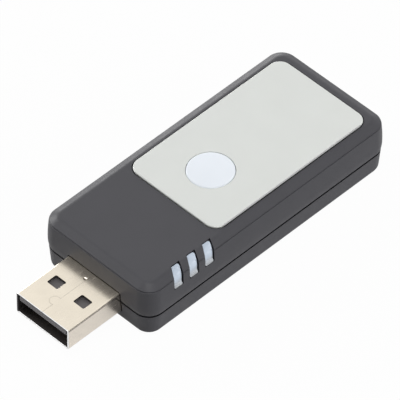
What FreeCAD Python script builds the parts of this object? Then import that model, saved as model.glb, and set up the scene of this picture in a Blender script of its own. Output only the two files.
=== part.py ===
import FreeCAD, Part
import math
import os

# USB wi-fi dongle with a push button and three light windows, in millimetres.
# +Z is up and the object rests on its flat bottom at Z = 0.
# The plug points towards -Y and the light windows are on the +X side.
# The origin is under the middle of the whole length, plug included.

# Casing, outside
casing_length = 56.3
casing_width = 25.25
casing_height = 11.2
corner_radius = 3.1
parting_height = 4.46
parting_inset = 0.18
widest_height = 6.4
crease_inset = 0.25
crease_groove_width = 0.25
crease_groove_depth = 0.3
shoulder_drop = 0.8
shoulder_run = 1.45
shoulder_round = 1.5
bottom_taper = 0.36
bottom_chamfer = 0.75
shadow_gap = 0.36
rim_fall = 0.5

# Casing, inside
side_wall = 1.4
top_wall = 1.4
floor_wall = 1.3
inside_chamfer = 0.5
inside_taper = 0.1
lip_height = 1.3
lip_thickness = 0.52
lip_clearance = 0.08
lip_lead_in = 0.15
seat_clearance = 0.05

# Plug
plug_reach = 11.65
plug_width = 12.0
plug_height = 4.5
plug_centre_height = 4.47
plug_corner = 0.42
sheet = 0.3
shell_depth_inside = 4.6
plug_opening_clearance = 0.17
window_width = 2.4
window_length = 2.1
window_spacing = 6.06
window_from_tip = 6.2
window_corner = 0.25
seam_width = 0.04
seam_key_radius = 0.95
seam_key_offset = 0.35
seam_key_from_tip = 3.2
dimple_radius = 0.34
dimple_depth = 0.1
dimple_from_tip = 10.0
leg_length = 2.4
leg_height = 1.9

# Plug insulator and contacts
tongue_thickness = 1.95
tongue_side_gap = 0.38
tongue_setback = 0.1
tongue_chamfer = 0.85
tongue_recess_depth = 0.35
tongue_recess_margin = 0.12
insulator_clearance = 0.03
insulator_block_from_tip = 11.2
insulator_depth_inside = 3.6
contact_width = 1.0
contact_thickness = 0.25
contact_proud = 0.07
contact_nose = 0.15
contact_places = (-3.5, -1.0, 1.0, 3.5)
power_contact_from_tip = 1.3
data_contact_from_tip = 2.3
contact_tail = 2.2

# Panel and its adhesive film
panel_width = 20.47
panel_front_margin = 17.68
panel_rear_margin = 2.84
panel_corner = 2.25
panel_proud = 0.24
panel_thickness = 0.7
panel_edge_chamfer = 0.2
panel_gap = 0.12
adhesive_thickness = 0.1
adhesive_inset = 0.6

# Button
button_diameter = 8.22
button_from_panel_front = 9.12
button_gap = 0.08
button_hole_clearance = 0.3
button_crown = 0.1
button_flat_diameter = 4.6
button_edge_chamfer = 0.2
button_wall = 1.0
button_flange_width = 1.0
button_flange_thickness = 0.8
button_flange_clearance = 0.08
button_travel = 0.25
button_post_diameter = 2.6

# Light windows and the light guide
slot_count = 3
slot_pitch = 3.53
slot_width = 2.1
slot_taper = 0.22
first_slot_from_front = 6.95
slot_drop = 2.28
slot_reach_in = 2.18
slot_lean = 0.9
slot_slant = 0.15
guide_gap = 0.06
guide_inner_gap = 0.14
guide_far_gap = 0.26
guide_corner = 0.28
guide_recess = 0.3
guide_top_recess = 0.08
guide_round = 1.3
guide_foot_height = 0.35
guide_foot_recess = 0.04
guide_bar_thickness = 1.2
guide_bar_overhang = 0.6
guide_leg_width = 1.4
guide_leg_length = 1.5
guide_leg_gap = 0.25

# Circuit board
board_thickness = 1.0
board_side_clearance = 0.5
board_end_clearance = 0.6
board_neck_clearance = 0.3
board_corner = 1.0

# Board posts, pins and snap hooks
post_size = 2.6
post_side_offset = 8.2
front_post_from_front = 19.5
rear_post_from_rear = 9.5
pin_diameter = 1.5
pin_clearance = 0.1
pin_height = 0.5
hook_width = 4.0
hook_thickness = 0.75
hook_reach = 2.0
hook_barb = 0.35
hook_barb_height = 0.8
hook_barb_edge = 0.25
hook_lead_in = 0.22
hook_clearance = 0.12
front_hook_from_front = 24.0
rear_hook_from_rear = 12.0
saddle_thickness = 1.2
saddle_from_front = 2.2
saddle_margin = 1.4

# Push switch
switch_size = 6.0
switch_base_height = 1.85
switch_cover_thickness = 0.2
switch_well_diameter = 4.6
switch_stem_diameter = 3.2
switch_stem_height = 2.6
switch_collar_diameter = 4.2
switch_collar_thickness = 0.6
switch_play = 0.05
switch_stem_clearance = 0.12
switch_lead_pitch = 4.5
switch_lead_width = 0.7
switch_lead_length = 1.0
switch_lead_root = 0.5
switch_lead_thickness = 0.2
dome_thickness = 0.08
dome_diameter = 4.2
dome_spare_rise = 0.12
dome_flat_diameter = 1.6
dome_foot = 0.3

# Parts on the board
led_length = 1.6
led_width = 0.8
led_base_height = 0.3
led_lens_length = 1.1
led_lens_height = 0.35
can_width = 13.0
can_length = 12.0
can_height = 1.8
can_sheet = 0.2
can_from_button = 12.3
radio_chip_size = 6.0
radio_chip_height = 0.9
radio_chip_offset = -2.0
crystal_length = 3.2
crystal_width = 2.5
crystal_height = 0.75
crystal_offset = 3.4
crystal_corner = 0.6
lead_root = 0.3
memory_length = 4.9
memory_width = 3.9
memory_height = 1.45
memory_lead_count = 4
memory_lead_pitch = 1.27
memory_lead_width = 0.4
memory_lead_reach = 1.0
memory_from_side = 5.3
memory_from_front = 15.0
regulator_length = 3.0
regulator_width = 1.6
regulator_height = 1.1
regulator_lead_pitch = 0.95
regulator_lead_width = 0.4
regulator_lead_reach = 0.6
regulator_from_side = 4.7
regulator_from_front = 10.4
lead_thickness = 0.2
chip_standoff = 0.05
block_length = 1.6
block_width = 0.8
block_height = 0.8
capacitor_count = 5
capacitor_pitch = 1.7
capacitor_side_offset = 1.6
capacitor_from_front = 9.4
resistor_height = 0.45
resistor_from_side = 2.9
antenna_from_side = 3.2
antenna_depth = 3.2
antenna_height = 2.6
antenna_sheet = 0.3
antenna_from_rear = 5.2
antenna_leg_width = 1.2
antenna_leg_spacing = 4.0

# Places worked out from the sizes above
overall_length = plug_reach + casing_length
tip_y = -overall_length / 2
front_y = tip_y + plug_reach
rear_y = overall_length / 2
middle_y = (front_y + rear_y) / 2
half_width = casing_width / 2
inner_half_width = half_width - side_wall
crease_height = casing_height - shoulder_drop
shoulder_angle = math.atan2(shoulder_drop, shoulder_run)
flat_top_inset = crease_inset + shoulder_run + shoulder_round * math.tan(shoulder_angle / 2)
ceiling_z = casing_height - top_wall
lip_outer_inset = side_wall - lip_thickness
lip_top_z = parting_height + lip_height
shell_rear_y = front_y + shell_depth_inside
saddle_y = front_y + saddle_from_front
plug_top_z = plug_centre_height + plug_height / 2
plug_bottom_z = plug_centre_height - plug_height / 2
tongue_bottom_z = plug_top_z - sheet - tongue_thickness
contact_bottom_z = tongue_bottom_z - contact_proud
board_bottom_z = contact_bottom_z + contact_thickness
board_top_z = board_bottom_z + board_thickness
board_half_width = inner_half_width - board_side_clearance
board_rear_y = rear_y - side_wall - board_end_clearance
insulator_rear_y = front_y + insulator_depth_inside
button_y = front_y + panel_front_margin + button_from_panel_front
button_flange_radius = button_diameter / 2 + button_flange_width
button_flange_top_z = ceiling_z - button_flange_clearance
panel_top_z = casing_height + panel_proud
panel_bottom_z = panel_top_z - panel_thickness
crown_top_z = panel_top_z + button_crown
pocket_floor_z = panel_bottom_z - adhesive_thickness
slot_bottom_z = crease_height - slot_drop
slot_inner_x = half_width - slot_reach_in
crease_x = half_width - crease_inset
front_post_y = front_y + front_post_from_front
rear_post_y = rear_y - rear_post_from_rear
stem_top_z = board_top_z + switch_stem_height
collar_bottom_z = board_top_z + switch_base_height - switch_play - switch_collar_thickness
dome_rise = button_travel + dome_spare_rise
well_floor_z = collar_bottom_z - switch_play - dome_thickness - dome_rise
led_x = inner_half_width - seat_clearance - guide_bar_thickness
led_top_z = board_top_z + led_base_height + led_lens_height
can_centre_y = button_y + can_from_button
dimple_sphere = (dimple_radius ** 2 + dimple_depth ** 2) / (2 * dimple_depth)


def vec(x, y, z):
    return FreeCAD.Vector(x, y, z)


def box(x0, x1, y0, y1, z0, z1):
    return Part.makeBox(x1 - x0, y1 - y0, z1 - z0, vec(x0, y0, z0))


def disc(diameter, x, y, z0, z1):
    return Part.makeCylinder(diameter / 2, z1 - z0, vec(x, y, z0))


def join(shapes):
    """One solid from pieces that touch or overlap, without the seams between them."""
    shapes = list(shapes)
    return shapes[0].multiFuse(shapes[1:]).removeSplitter()


def rounded_corner(before, corner, after, radius):
    """Start, middle and end of the arc that rounds a corner between two lines."""
    back = (vec(before[0], 0, before[1]) - vec(corner[0], 0, corner[1])).normalize()
    ahead = (vec(after[0], 0, after[1]) - vec(corner[0], 0, corner[1])).normalize()
    half_angle = back.getAngle(ahead) / 2
    tangent = radius / math.tan(half_angle)
    inward = (back + ahead).normalize()
    at = vec(corner[0], 0, corner[1])
    start = at + back * tangent
    end = at + ahead * tangent
    middle = at + inward * (radius / math.sin(half_angle) - radius)
    return start, middle, end


def flat_shape(points):
    """A face in the XZ plane from a closed run of points.

    (x, z) is a sharp corner, (x, z, radius) a rounded one, and
    ((x, z), (x, z)) the middle and the end of an arc.
    """
    edges = []
    first = None
    here = None

    def line_to(end):
        if here and (end - here).Length > 1e-6:
            edges.append(Part.makeLine(here, end))

    for index, point in enumerate(points):
        if isinstance(point[0], tuple):
            middle, end = [vec(x, 0, z) for x, z in point]
            edges.append(Part.Arc(here, middle, end).toShape())
            here = end
        elif len(point) == 3:
            after = points[(index + 1) % len(points)]
            start, middle, end = rounded_corner(points[index - 1], point, after, point[2])
            line_to(start)
            edges.append(Part.Arc(start, middle, end).toShape())
            here = end
        else:
            start = vec(point[0], 0, point[1])
            line_to(start)
            here = start
        if first is None:
            first = start
    line_to(first)
    return Part.Face(Part.Wire(edges))


def bar_along_y(points, y0, y1):
    face = flat_shape(points)
    face.translate(vec(0, y0, 0))
    return face.extrude(vec(0, y1 - y0, 0))


def turned(points, x, y):
    """A solid of revolution about the vertical line through x, y."""
    solid = flat_shape(points).revolve(vec(0, 0, 0), vec(0, 0, 1), 360)
    solid.translate(vec(x, y, 0))
    return solid


def round_along(solid, direction, radius):
    """Rounds a box's edges that run in one direction."""
    edges = [edge for edge in solid.Edges
             if edge.tangentAt(edge.FirstParameter).cross(direction).Length < 0.5]
    return solid.makeFillet(radius, edges)


def plate(x0, x1, y0, y1, radius, z0, z1):
    """A flat plate whose four corners are rounded in plan."""
    return round_along(box(x0, x1, y0, y1, z0, z1), vec(0, 0, 1), radius)


def casing_plate(inset, z0, z1):
    """A plate with the casing's plan outline, drawn in by an inset."""
    return plate(-half_width + inset, half_width - inset, front_y + inset, rear_y - inset,
                 corner_radius - inset, z0, z1)


def rim(points):
    """Carries a wall section round the casing's outline.

    The section's points give the distance in from the widest outline, and the height.
    """
    mapped = []
    for point in points:
        if isinstance(point[0], tuple):
            mapped.append(tuple((corner_radius - inset, z) for inset, z in point))
        else:
            mapped.append((corner_radius - point[0],) + tuple(point[1:]))
    section = flat_shape(mapped)
    corner_x = half_width - corner_radius
    corner_y = casing_length / 2 - corner_radius
    centres = ((corner_x, corner_y), (-corner_x, corner_y), (-corner_x, -corner_y), (corner_x, -corner_y))
    pieces = []
    for quarter, (x, y) in enumerate(centres):
        corner = section.revolve(vec(0, 0, 0), vec(0, 0, 1), 90)
        corner.rotate(vec(0, 0, 0), vec(0, 0, 1), 90 * quarter)
        corner.translate(vec(x, middle_y + y, 0))
        pieces.append(corner)
        next_x, next_y = centres[(quarter + 1) % 4]
        side = section.copy()
        side.rotate(vec(0, 0, 0), vec(0, 0, 1), 90 * (quarter + 1))
        side.translate(vec(x, middle_y + y, 0))
        pieces.append(side.extrude(vec(next_x - x, next_y - y, 0)))
    return pieces


def swell(height, inset, fraction):
    """Inset part way along an arc that leaves the widest line upright."""
    radius = (height ** 2 + inset ** 2) / (2 * inset)
    return radius - math.sqrt(radius ** 2 - (height * fraction) ** 2)


def wall_inset(z):
    """How far the upper side wall has drawn in at a height above the widest line."""
    rise = crease_height - widest_height
    return swell(rise, crease_inset, (z - widest_height) / rise)


def half_way(a, b):
    return (a + b) / 2


def plug_outline(clearance, y0, y1):
    """The plug's outside, grown by a clearance, as a solid along Y."""
    half = plug_width / 2 + clearance
    low = plug_bottom_z - clearance
    high = plug_top_z + clearance
    corner = plug_corner + clearance
    return bar_along_y([(-half, low, corner), (half, low, corner), (half, high, corner),
                        (-half, high, corner)], y0, y1)


def slot_centre_y(index):
    return front_y + first_slot_from_front + slot_pitch * index


def slot_cutter(index, z0, z1, near_gap=0, inner_gap=0, far_gap=0, corner=0):
    """One light window in plan: square to the wall, then leaning back and narrowing over the shoulder.

    It slants along Y as it rises. The gaps draw its sides in, and the corner trims the inner end's
    far side.
    """
    slide = slot_slant / slot_drop
    middle = slot_centre_y(index) + slide * (z0 - slot_bottom_z)
    near = middle - slot_width / 2 + near_gap
    far = middle + slot_width / 2 - far_gap
    inner = slot_inner_x + inner_gap
    reach = (crease_x - inner) / (crease_x - slot_inner_x)
    near_end = near + (slot_lean + slot_taper / 2) * reach
    far_end = far + (slot_lean - slot_taper / 2) * reach
    outer = half_width + slot_reach_in
    corners = [(outer, near), (crease_x, near), (inner, near_end)]
    if corner:
        share = corner / (crease_x - inner)
        corners += [(inner, far_end - corner), (inner + corner, far_end + (far - far_end) * share)]
    else:
        corners.append((inner, far_end))
    corners += [(crease_x, far), (outer, far)]
    points = [vec(x, y, z0) for x, y in corners]
    rise = z1 - z0
    return Part.Face(Part.makePolygon(points + points[:1])).extrude(vec(0, slide * rise, rise))


def post_places():
    return [(side * post_side_offset, y) for y in (front_post_y, rear_post_y) for side in (-1, 1)]


def pin_places():
    """The two posts, on a diagonal, that carry locating pins."""
    return [(-post_side_offset, front_post_y), (post_side_offset, rear_post_y)]


def post(x, y, z0, z1):
    half = post_size / 2
    return box(x - half, x + half, y - half, y + half, z0, z1)


def hook_places():
    ys = (front_y + front_hook_from_front, rear_y - rear_hook_from_rear)
    return [(side, y) for y in ys for side in (-1, 1)]


def hook_arm(side, y, clearance=0.0):
    """One snap hook that hangs from the top cover inside the bottom cover's wall."""
    gap_x = inner_half_width - hook_clearance
    arm_x = gap_x - hook_thickness - clearance
    root_x = half_way(inner_half_width, half_width)
    root_z = lip_top_z + hook_clearance
    barb_top = hook_reach + hook_barb_height
    points = [
        (arm_x, ceiling_z),
        (arm_x, hook_reach),
        (gap_x - hook_lead_in, hook_reach),
        (gap_x + hook_barb, barb_top - hook_barb_edge),
        (gap_x + hook_barb, barb_top),
        (gap_x, barb_top),
        (gap_x, root_z),
        (root_x, root_z),
        (root_x, ceiling_z),
    ]
    half = hook_width / 2 + clearance
    arm = bar_along_y(points, y - half, y + half)
    if side < 0:
        arm = arm.mirror(vec(0, 0, 0), vec(1, 0, 0))
    return arm


def hook_recess(side, y):
    """The pocket in the bottom cover's wall that a hook's barb snaps into."""
    half = hook_width / 2 + hook_clearance
    low = hook_reach - hook_clearance
    high = hook_reach + hook_barb_height + hook_clearance
    outer = inner_half_width + hook_barb
    inner = inner_half_width - hook_thickness
    return box(min(side * inner, side * outer), max(side * inner, side * outer),
               y - half, y + half, low, high)


def saddle(z0, z1):
    """A cross wall behind the casing's front that the plug's sleeve rests in."""
    half = plug_width / 2 + saddle_margin
    return box(-half, half, saddle_y, saddle_y + saddle_thickness, z0, z1)


def fit_round_plug(cover):
    """Opens a cover's front wall and its saddle for the plug."""
    cover = cover.cut(plug_outline(plug_opening_clearance, front_y, saddle_y))
    return cover.cut(plug_outline(0, front_y, shell_rear_y))


def make_bottom_cover():
    outer_bottom = parting_inset + bottom_taper
    inner_bottom = side_wall + inside_taper
    inner_corner = inner_bottom + inside_chamfer
    core_inset = half_way(max(outer_bottom + bottom_chamfer, inner_corner), corner_radius)
    section = [
        (parting_inset, parting_height),
        (lip_outer_inset, parting_height - rim_fall),
        (lip_outer_inset, lip_top_z - lip_lead_in),
        (lip_outer_inset + lip_lead_in, lip_top_z),
        (side_wall, lip_top_z),
        (side_wall, parting_height),
        (inner_bottom, floor_wall + inside_chamfer),
        (inner_corner, floor_wall),
        (core_inset, floor_wall),
        (core_inset, 0),
        (outer_bottom + bottom_chamfer, 0),
        (outer_bottom, bottom_chamfer),
    ]
    solids = rim(section) + [casing_plate(core_inset, 0, floor_wall)]
    for x, y in post_places():
        solids.append(post(x, y, floor_wall / 2, board_bottom_z))
    for x, y in pin_places():
        solids.append(disc(pin_diameter, x, y, floor_wall / 2, board_top_z + pin_height))
    solids.append(saddle(floor_wall / 2, parting_height - seat_clearance))
    cover = fit_round_plug(join(solids))
    for side, y in hook_places():
        cover = cover.cut(hook_recess(side, y))
    return cover


def make_top_cover():
    low = parting_height + shadow_gap
    rebate_inset = lip_outer_inset - lip_clearance
    core_inset = half_way(max(flat_top_inset, side_wall + inside_chamfer), corner_radius)
    lower_middle = (swell(widest_height - low, parting_inset, 0.5), half_way(low, widest_height))
    crease_foot = crease_height - crease_groove_width
    upper_middle_z = half_way(widest_height, crease_foot)
    section = [
        (parting_inset, low),
        (lower_middle, (0, widest_height)),
        ((wall_inset(upper_middle_z), upper_middle_z), (wall_inset(crease_foot), crease_foot)),
        (crease_inset + crease_groove_depth, half_way(crease_foot, crease_height)),
        (crease_inset, crease_height),
        (crease_inset + shoulder_run, casing_height, shoulder_round),
        (core_inset, casing_height),
        (core_inset, ceiling_z),
        (side_wall + inside_chamfer, ceiling_z),
        (side_wall, ceiling_z - inside_chamfer),
        (side_wall, lip_top_z),
        (rebate_inset, lip_top_z),
        (rebate_inset, low),
    ]
    solids = rim(section) + [casing_plate(core_inset, ceiling_z, casing_height)]
    for x, y in set(post_places()) - set(pin_places()):
        solids.append(post(x, y, board_top_z, half_way(ceiling_z, pocket_floor_z)))
    for side, y in hook_places():
        solids.append(hook_arm(side, y))
    solids.append(saddle(parting_height + seat_clearance, half_way(ceiling_z, pocket_floor_z)))
    cover = fit_round_plug(join(solids))
    cover = cover.cut(panel_shape(-panel_gap, pocket_floor_z, panel_top_z))
    hole = button_diameter + 2 * button_hole_clearance
    cover = cover.cut(disc(hole, 0, button_y, board_top_z, panel_top_z))
    for index in range(slot_count):
        cover = cover.cut(slot_cutter(index, slot_bottom_z, panel_top_z))
    return cover


def panel_shape(inset, z0, z1):
    """The panel's rounded rectangle, drawn in by an inset."""
    half = panel_width / 2 - inset
    return plate(-half, half, front_y + panel_front_margin + inset, rear_y - panel_rear_margin - inset,
                 panel_corner - inset, z0, z1)


def make_top_panel():
    panel = panel_shape(0, panel_bottom_z, panel_top_z)
    rim_edges = [edge for edge in panel.Edges if edge.BoundBox.ZMin > panel_bottom_z + panel_thickness / 2]
    panel = panel.makeChamfer(panel_edge_chamfer, rim_edges)
    return panel.cut(disc(button_diameter + 2 * button_gap, 0, button_y, pocket_floor_z, crown_top_z))


def make_panel_adhesive():
    film = panel_shape(adhesive_inset, pocket_floor_z, panel_bottom_z)
    hole = button_diameter + 2 * button_hole_clearance + 2 * adhesive_inset
    return film.cut(disc(hole, 0, button_y, ceiling_z, panel_top_z))


def make_button_cap():
    """A flanged cap with a slightly crowned top and a post that meets the switch."""
    radius = button_diameter / 2
    inner = radius - button_wall
    flange_bottom = button_flange_top_z - button_flange_thickness
    roof = panel_top_z - button_wall
    post = button_post_diameter / 2
    shape = [
        (0, crown_top_z),
        (0, stem_top_z),
        (post, stem_top_z),
        (post, roof),
        (inner, roof),
        (inner, flange_bottom),
        (button_flange_radius, flange_bottom),
        (button_flange_radius, button_flange_top_z),
        (radius, button_flange_top_z),
        (radius, panel_top_z - button_edge_chamfer),
        (radius - button_edge_chamfer, panel_top_z),
        (button_flat_diameter / 2, crown_top_z),
    ]
    return turned(shape, 0, button_y)


def make_light_guide():
    """Three window heads on one bar, each with a leg that stands over its light."""
    foot_z = slot_bottom_z + guide_gap
    foot_top = foot_z + guide_foot_height
    recess_z = foot_top + guide_recess
    corner_x = crease_x - guide_recess
    top_z = casing_height - guide_top_recess
    inner_x = slot_inner_x - guide_round
    shoulder_z = crease_height - guide_recess / 2
    contour = [
        (inner_x, foot_z),
        (half_width - wall_inset(foot_z) - guide_foot_recess, foot_z),
        (half_width - wall_inset(foot_top) - guide_foot_recess, foot_top),
        (half_width - wall_inset(recess_z) - guide_recess, recess_z),
        (corner_x, shoulder_z, guide_round),
        (crease_x - shoulder_run, top_z, guide_round),
        (inner_x, top_z),
    ]
    bar_x1 = inner_half_width - seat_clearance
    bar_x0 = bar_x1 - guide_bar_thickness
    bar_z1 = ceiling_z - inside_chamfer
    bar_z0 = half_way(led_top_z, bar_z1)
    first = slot_centre_y(0) - slot_width / 2 - guide_bar_overhang
    last = slot_centre_y(slot_count - 1) + slot_width / 2 + guide_bar_overhang
    solids = [box(bar_x0, bar_x1, first, last, bar_z0, bar_z1)]
    ridge = bar_along_y(contour, first, last + slot_lean + slot_slant)
    for index in range(slot_count):
        head = slot_cutter(index, foot_z, casing_height, guide_gap, guide_inner_gap, guide_far_gap,
                           guide_corner)
        solids.append(ridge.common(head))
        y = slot_centre_y(index)
        solids.append(box(bar_x0 - guide_leg_width / 2, bar_x0 + guide_leg_width / 2,
                          y - guide_leg_length / 2, y + guide_leg_length / 2,
                          led_top_z + guide_leg_gap, bar_z1))
    return join(solids)


def shell_box():
    """The plug's inside as a solid, from tip to rear."""
    half = plug_width / 2 - sheet
    low = plug_bottom_z + sheet
    high = plug_top_z - sheet
    corner = plug_corner - sheet
    return bar_along_y([(-half, low, corner), (half, low, corner), (half, high, corner),
                        (-half, high, corner)], tip_y - sheet, shell_rear_y + sheet)


def window_places():
    return (-window_spacing / 2, window_spacing / 2)


def window_block(x, margin, z0, z1):
    """The space of one of the plug's windows, widened by a margin."""
    y = tip_y + window_from_tip
    half_x = window_width / 2 + margin
    half_y = window_length / 2 + margin
    return plate(x - half_x, x + half_x, y - half_y, y + half_y, window_corner, z0, z1)


def make_plug_shell():
    """Folded steel sleeve with its windows, seam, locking dimple and solder legs."""
    shell = plug_outline(0, tip_y, shell_rear_y).cut(shell_box())
    for x in window_places():
        shell = shell.cut(window_block(x, 0, plug_bottom_z - sheet, plug_top_z + sheet))
    key_x = -seam_key_offset
    key_y = tip_y + seam_key_from_tip
    seam_low = plug_centre_height
    seam_high = plug_top_z + sheet
    ring = disc(2 * seam_key_radius, key_x, key_y, seam_low, seam_high)
    ring = ring.cut(disc(2 * (seam_key_radius - seam_width), key_x, key_y, seam_low, seam_high))
    ring = ring.cut(box(-seam_width / 2, seam_key_radius, key_y - seam_key_radius,
                        key_y + seam_key_radius, seam_low, seam_high))
    key_half = math.sqrt(seam_key_radius ** 2 - seam_key_offset ** 2) - seam_width
    shell = shell.cut(ring)
    for y0, y1 in ((tip_y - sheet, key_y - key_half), (key_y + key_half, shell_rear_y + sheet)):
        shell = shell.cut(box(-seam_width / 2, seam_width / 2, y0, y1, seam_low, seam_high))
    dimple = Part.makeSphere(dimple_sphere)
    dimple.translate(vec(-dimple_radius, tip_y + dimple_from_tip,
                         plug_top_z + dimple_sphere - dimple_depth))
    shell = shell.cut(dimple)
    leg_z = half_way(board_bottom_z, board_top_z)
    legs = []
    for side in (-1, 1):
        outer = side * plug_width / 2
        inner = side * (plug_width / 2 - sheet)
        legs.append(box(min(outer, inner), max(outer, inner), shell_rear_y - sheet, shell_rear_y + leg_length,
                        leg_z - leg_height / 2, leg_z + leg_height / 2))
    return join([shell] + legs)


def make_plug_insulator():
    """The tongue under the plug's top and the block behind the mouth, grooved for the contacts."""
    half_tongue = plug_width / 2 - sheet - tongue_side_gap
    half_block = plug_width / 2 - sheet - insulator_clearance
    top = plug_top_z - sheet - insulator_clearance
    bottom = plug_bottom_z + sheet + insulator_clearance
    front = tip_y + tongue_setback
    block_front = tip_y + insulator_block_from_tip
    tongue = Part.Face(Part.makePolygon([
        vec(-half_tongue, front, top), vec(-half_tongue, front, tongue_bottom_z + tongue_chamfer),
        vec(-half_tongue, front + tongue_chamfer, tongue_bottom_z),
        vec(-half_tongue, insulator_rear_y, tongue_bottom_z),
        vec(-half_tongue, insulator_rear_y, top), vec(-half_tongue, front, top)]))
    tongue = tongue.extrude(vec(2 * half_tongue, 0, 0))
    block = box(-half_block, half_block, block_front, insulator_rear_y, bottom, top)
    insulator = join([tongue, round_along(block, vec(0, 1, 0), plug_corner - sheet)])
    recess_floor = top - tongue_recess_depth
    for x in window_places():
        insulator = insulator.cut(window_block(x, tongue_recess_margin, recess_floor, plug_top_z))
    for x in contact_places:
        insulator = insulator.cut(box(x - contact_width / 2, x + contact_width / 2, tip_y,
                                      insulator_rear_y + contact_tail, contact_bottom_z, board_bottom_z))
    return insulator


def make_contact(x):
    is_power = abs(x) == max(contact_places)
    start = tip_y + (power_contact_from_tip if is_power else data_contact_from_tip)
    end = insulator_rear_y + contact_tail
    strip = box(x - contact_width / 2, x + contact_width / 2, start, end, contact_bottom_z, board_bottom_z)
    nose = [edge for edge in strip.Edges
            if edge.BoundBox.YMax < half_way(start, end)
            and edge.BoundBox.ZMax < half_way(contact_bottom_z, board_bottom_z)]
    return strip.makeFillet(contact_nose, nose)


def make_circuit_board():
    """The board: a narrow neck inside the plug's rear, then the full width of the casing."""
    neck_half = plug_width / 2 - sheet - board_neck_clearance
    step_y = shell_rear_y + board_neck_clearance
    body = plate(-board_half_width, board_half_width, step_y, board_rear_y, board_corner,
                 board_bottom_z, board_top_z)
    neck = box(-neck_half, neck_half, insulator_rear_y, step_y + board_corner, board_bottom_z, board_top_z)
    board = join([body, neck])
    for side in (-1, 1):
        outer = side * (plug_width / 2 + pin_clearance)
        inner = side * (plug_width / 2 - sheet - pin_clearance)
        board = board.cut(box(min(outer, inner), max(outer, inner), shell_rear_y,
                              shell_rear_y + leg_length + pin_clearance, plug_bottom_z, plug_top_z))
    for x, y in pin_places():
        board = board.cut(disc(pin_diameter + 2 * pin_clearance, x, y, floor_wall, ceiling_z))
    for side, y in hook_places():
        board = board.cut(hook_arm(side, y, clearance=hook_clearance))
    return board


def make_switch_base():
    half = switch_size / 2
    base = box(-half, half, button_y - half, button_y + half, board_top_z, board_top_z + switch_base_height)
    base = base.cut(disc(switch_well_diameter, 0, button_y, well_floor_z, stem_top_z))
    leads = []
    for side in (-1, 1):
        for end in (-1, 1):
            y = button_y + end * switch_lead_pitch / 2
            x0 = side * (half - switch_lead_root)
            x1 = side * (half + switch_lead_length)
            leads.append(box(min(x0, x1), max(x0, x1), y - switch_lead_width / 2, y + switch_lead_width / 2,
                             board_top_z, board_top_z + switch_lead_thickness))
    return join([base] + leads)


def make_switch_cover():
    """The thin metal plate that closes the switch and holds its stem in."""
    half = switch_size / 2
    low = board_top_z + switch_base_height
    cover = box(-half, half, button_y - half, button_y + half, low, low + switch_cover_thickness)
    hole = switch_stem_diameter + 2 * switch_stem_clearance
    return cover.cut(disc(hole, 0, button_y, board_top_z, stem_top_z))


def make_switch_stem():
    collar = disc(switch_collar_diameter, 0, button_y, collar_bottom_z,
                  collar_bottom_z + switch_collar_thickness)
    stem = disc(switch_stem_diameter, 0, button_y, collar_bottom_z, stem_top_z)
    return join([collar, stem])


def make_switch_dome():
    """The snap dome that pushes the stem back up."""
    radius = dome_diameter / 2
    flat = dome_flat_diameter / 2
    foot = radius - dome_foot
    under = [(radius, well_floor_z), (foot, well_floor_z), (flat, well_floor_z + dome_rise),
             (0, well_floor_z + dome_rise)]
    over = [(x, z + dome_thickness) for x, z in reversed(under)]
    return turned(under + over, 0, button_y)


def make_led(index):
    x0 = led_x - led_width / 2
    x1 = led_x + led_width / 2
    y = slot_centre_y(index)
    mid = board_top_z + led_base_height
    base = box(x0, x1, y - led_length / 2, y + led_length / 2, board_top_z, mid)
    lens = box(x0, x1, y - led_lens_length / 2, y + led_lens_length / 2, mid, led_top_z)
    return join([base, lens])


def make_shield_can():
    """A folded lid over the radio circuit, open towards the board."""
    x = can_width / 2
    y0 = can_centre_y - can_length / 2
    y1 = can_centre_y + can_length / 2
    top = board_top_z + can_height
    inner = box(-x + can_sheet, x - can_sheet, y0 + can_sheet, y1 - can_sheet,
                board_bottom_z, top - can_sheet)
    return box(-x, x, y0, y1, board_top_z, top).cut(inner)


def make_radio_chip():
    x = radio_chip_offset
    half = radio_chip_size / 2
    return box(x - half, x + half, can_centre_y - half, can_centre_y + half,
               board_top_z, board_top_z + radio_chip_height)


def make_crystal():
    x = crystal_offset
    y = can_centre_y
    return plate(x - crystal_width / 2, x + crystal_width / 2, y - crystal_length / 2, y + crystal_length / 2,
                 crystal_corner, board_top_z, board_top_z + crystal_height)


def chip_with_leads(x, y, width, length, height, lead_ys, lead_width, reach, sides):
    """A moulded chip with flat leads along its sides, as one soldered part."""
    body = box(x - width / 2, x + width / 2, y - length / 2, y + length / 2,
               board_top_z + chip_standoff, board_top_z + height)
    leads = []
    for side in sides:
        for offset in lead_ys:
            x0 = x + side * (width / 2 - lead_root)
            x1 = x + side * (width / 2 + reach)
            leads.append(box(min(x0, x1), max(x0, x1), y + offset - lead_width / 2,
                             y + offset + lead_width / 2, board_top_z, board_top_z + lead_thickness))
    return join([body] + leads)


def make_memory_chip():
    ys = [memory_lead_pitch * (n - (memory_lead_count - 1) / 2) for n in range(memory_lead_count)]
    return chip_with_leads(memory_from_side - board_half_width, front_y + memory_from_front,
                           memory_width, memory_length, memory_height, ys, memory_lead_width,
                           memory_lead_reach, (-1, 1))


def make_voltage_regulator():
    x = regulator_from_side - board_half_width
    y = front_y + regulator_from_front
    pair = chip_with_leads(x, y, regulator_width, regulator_length, regulator_height,
                           (-regulator_lead_pitch, regulator_lead_pitch), regulator_lead_width,
                           regulator_lead_reach, (-1,))
    single = chip_with_leads(x, y, regulator_width, regulator_length, regulator_height,
                             (0,), regulator_lead_width, regulator_lead_reach, (1,))
    return join([pair, single])


def small_block(x, y, height):
    return box(x - block_width / 2, x + block_width / 2, y - block_length / 2, y + block_length / 2,
               board_top_z, board_top_z + height)


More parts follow.
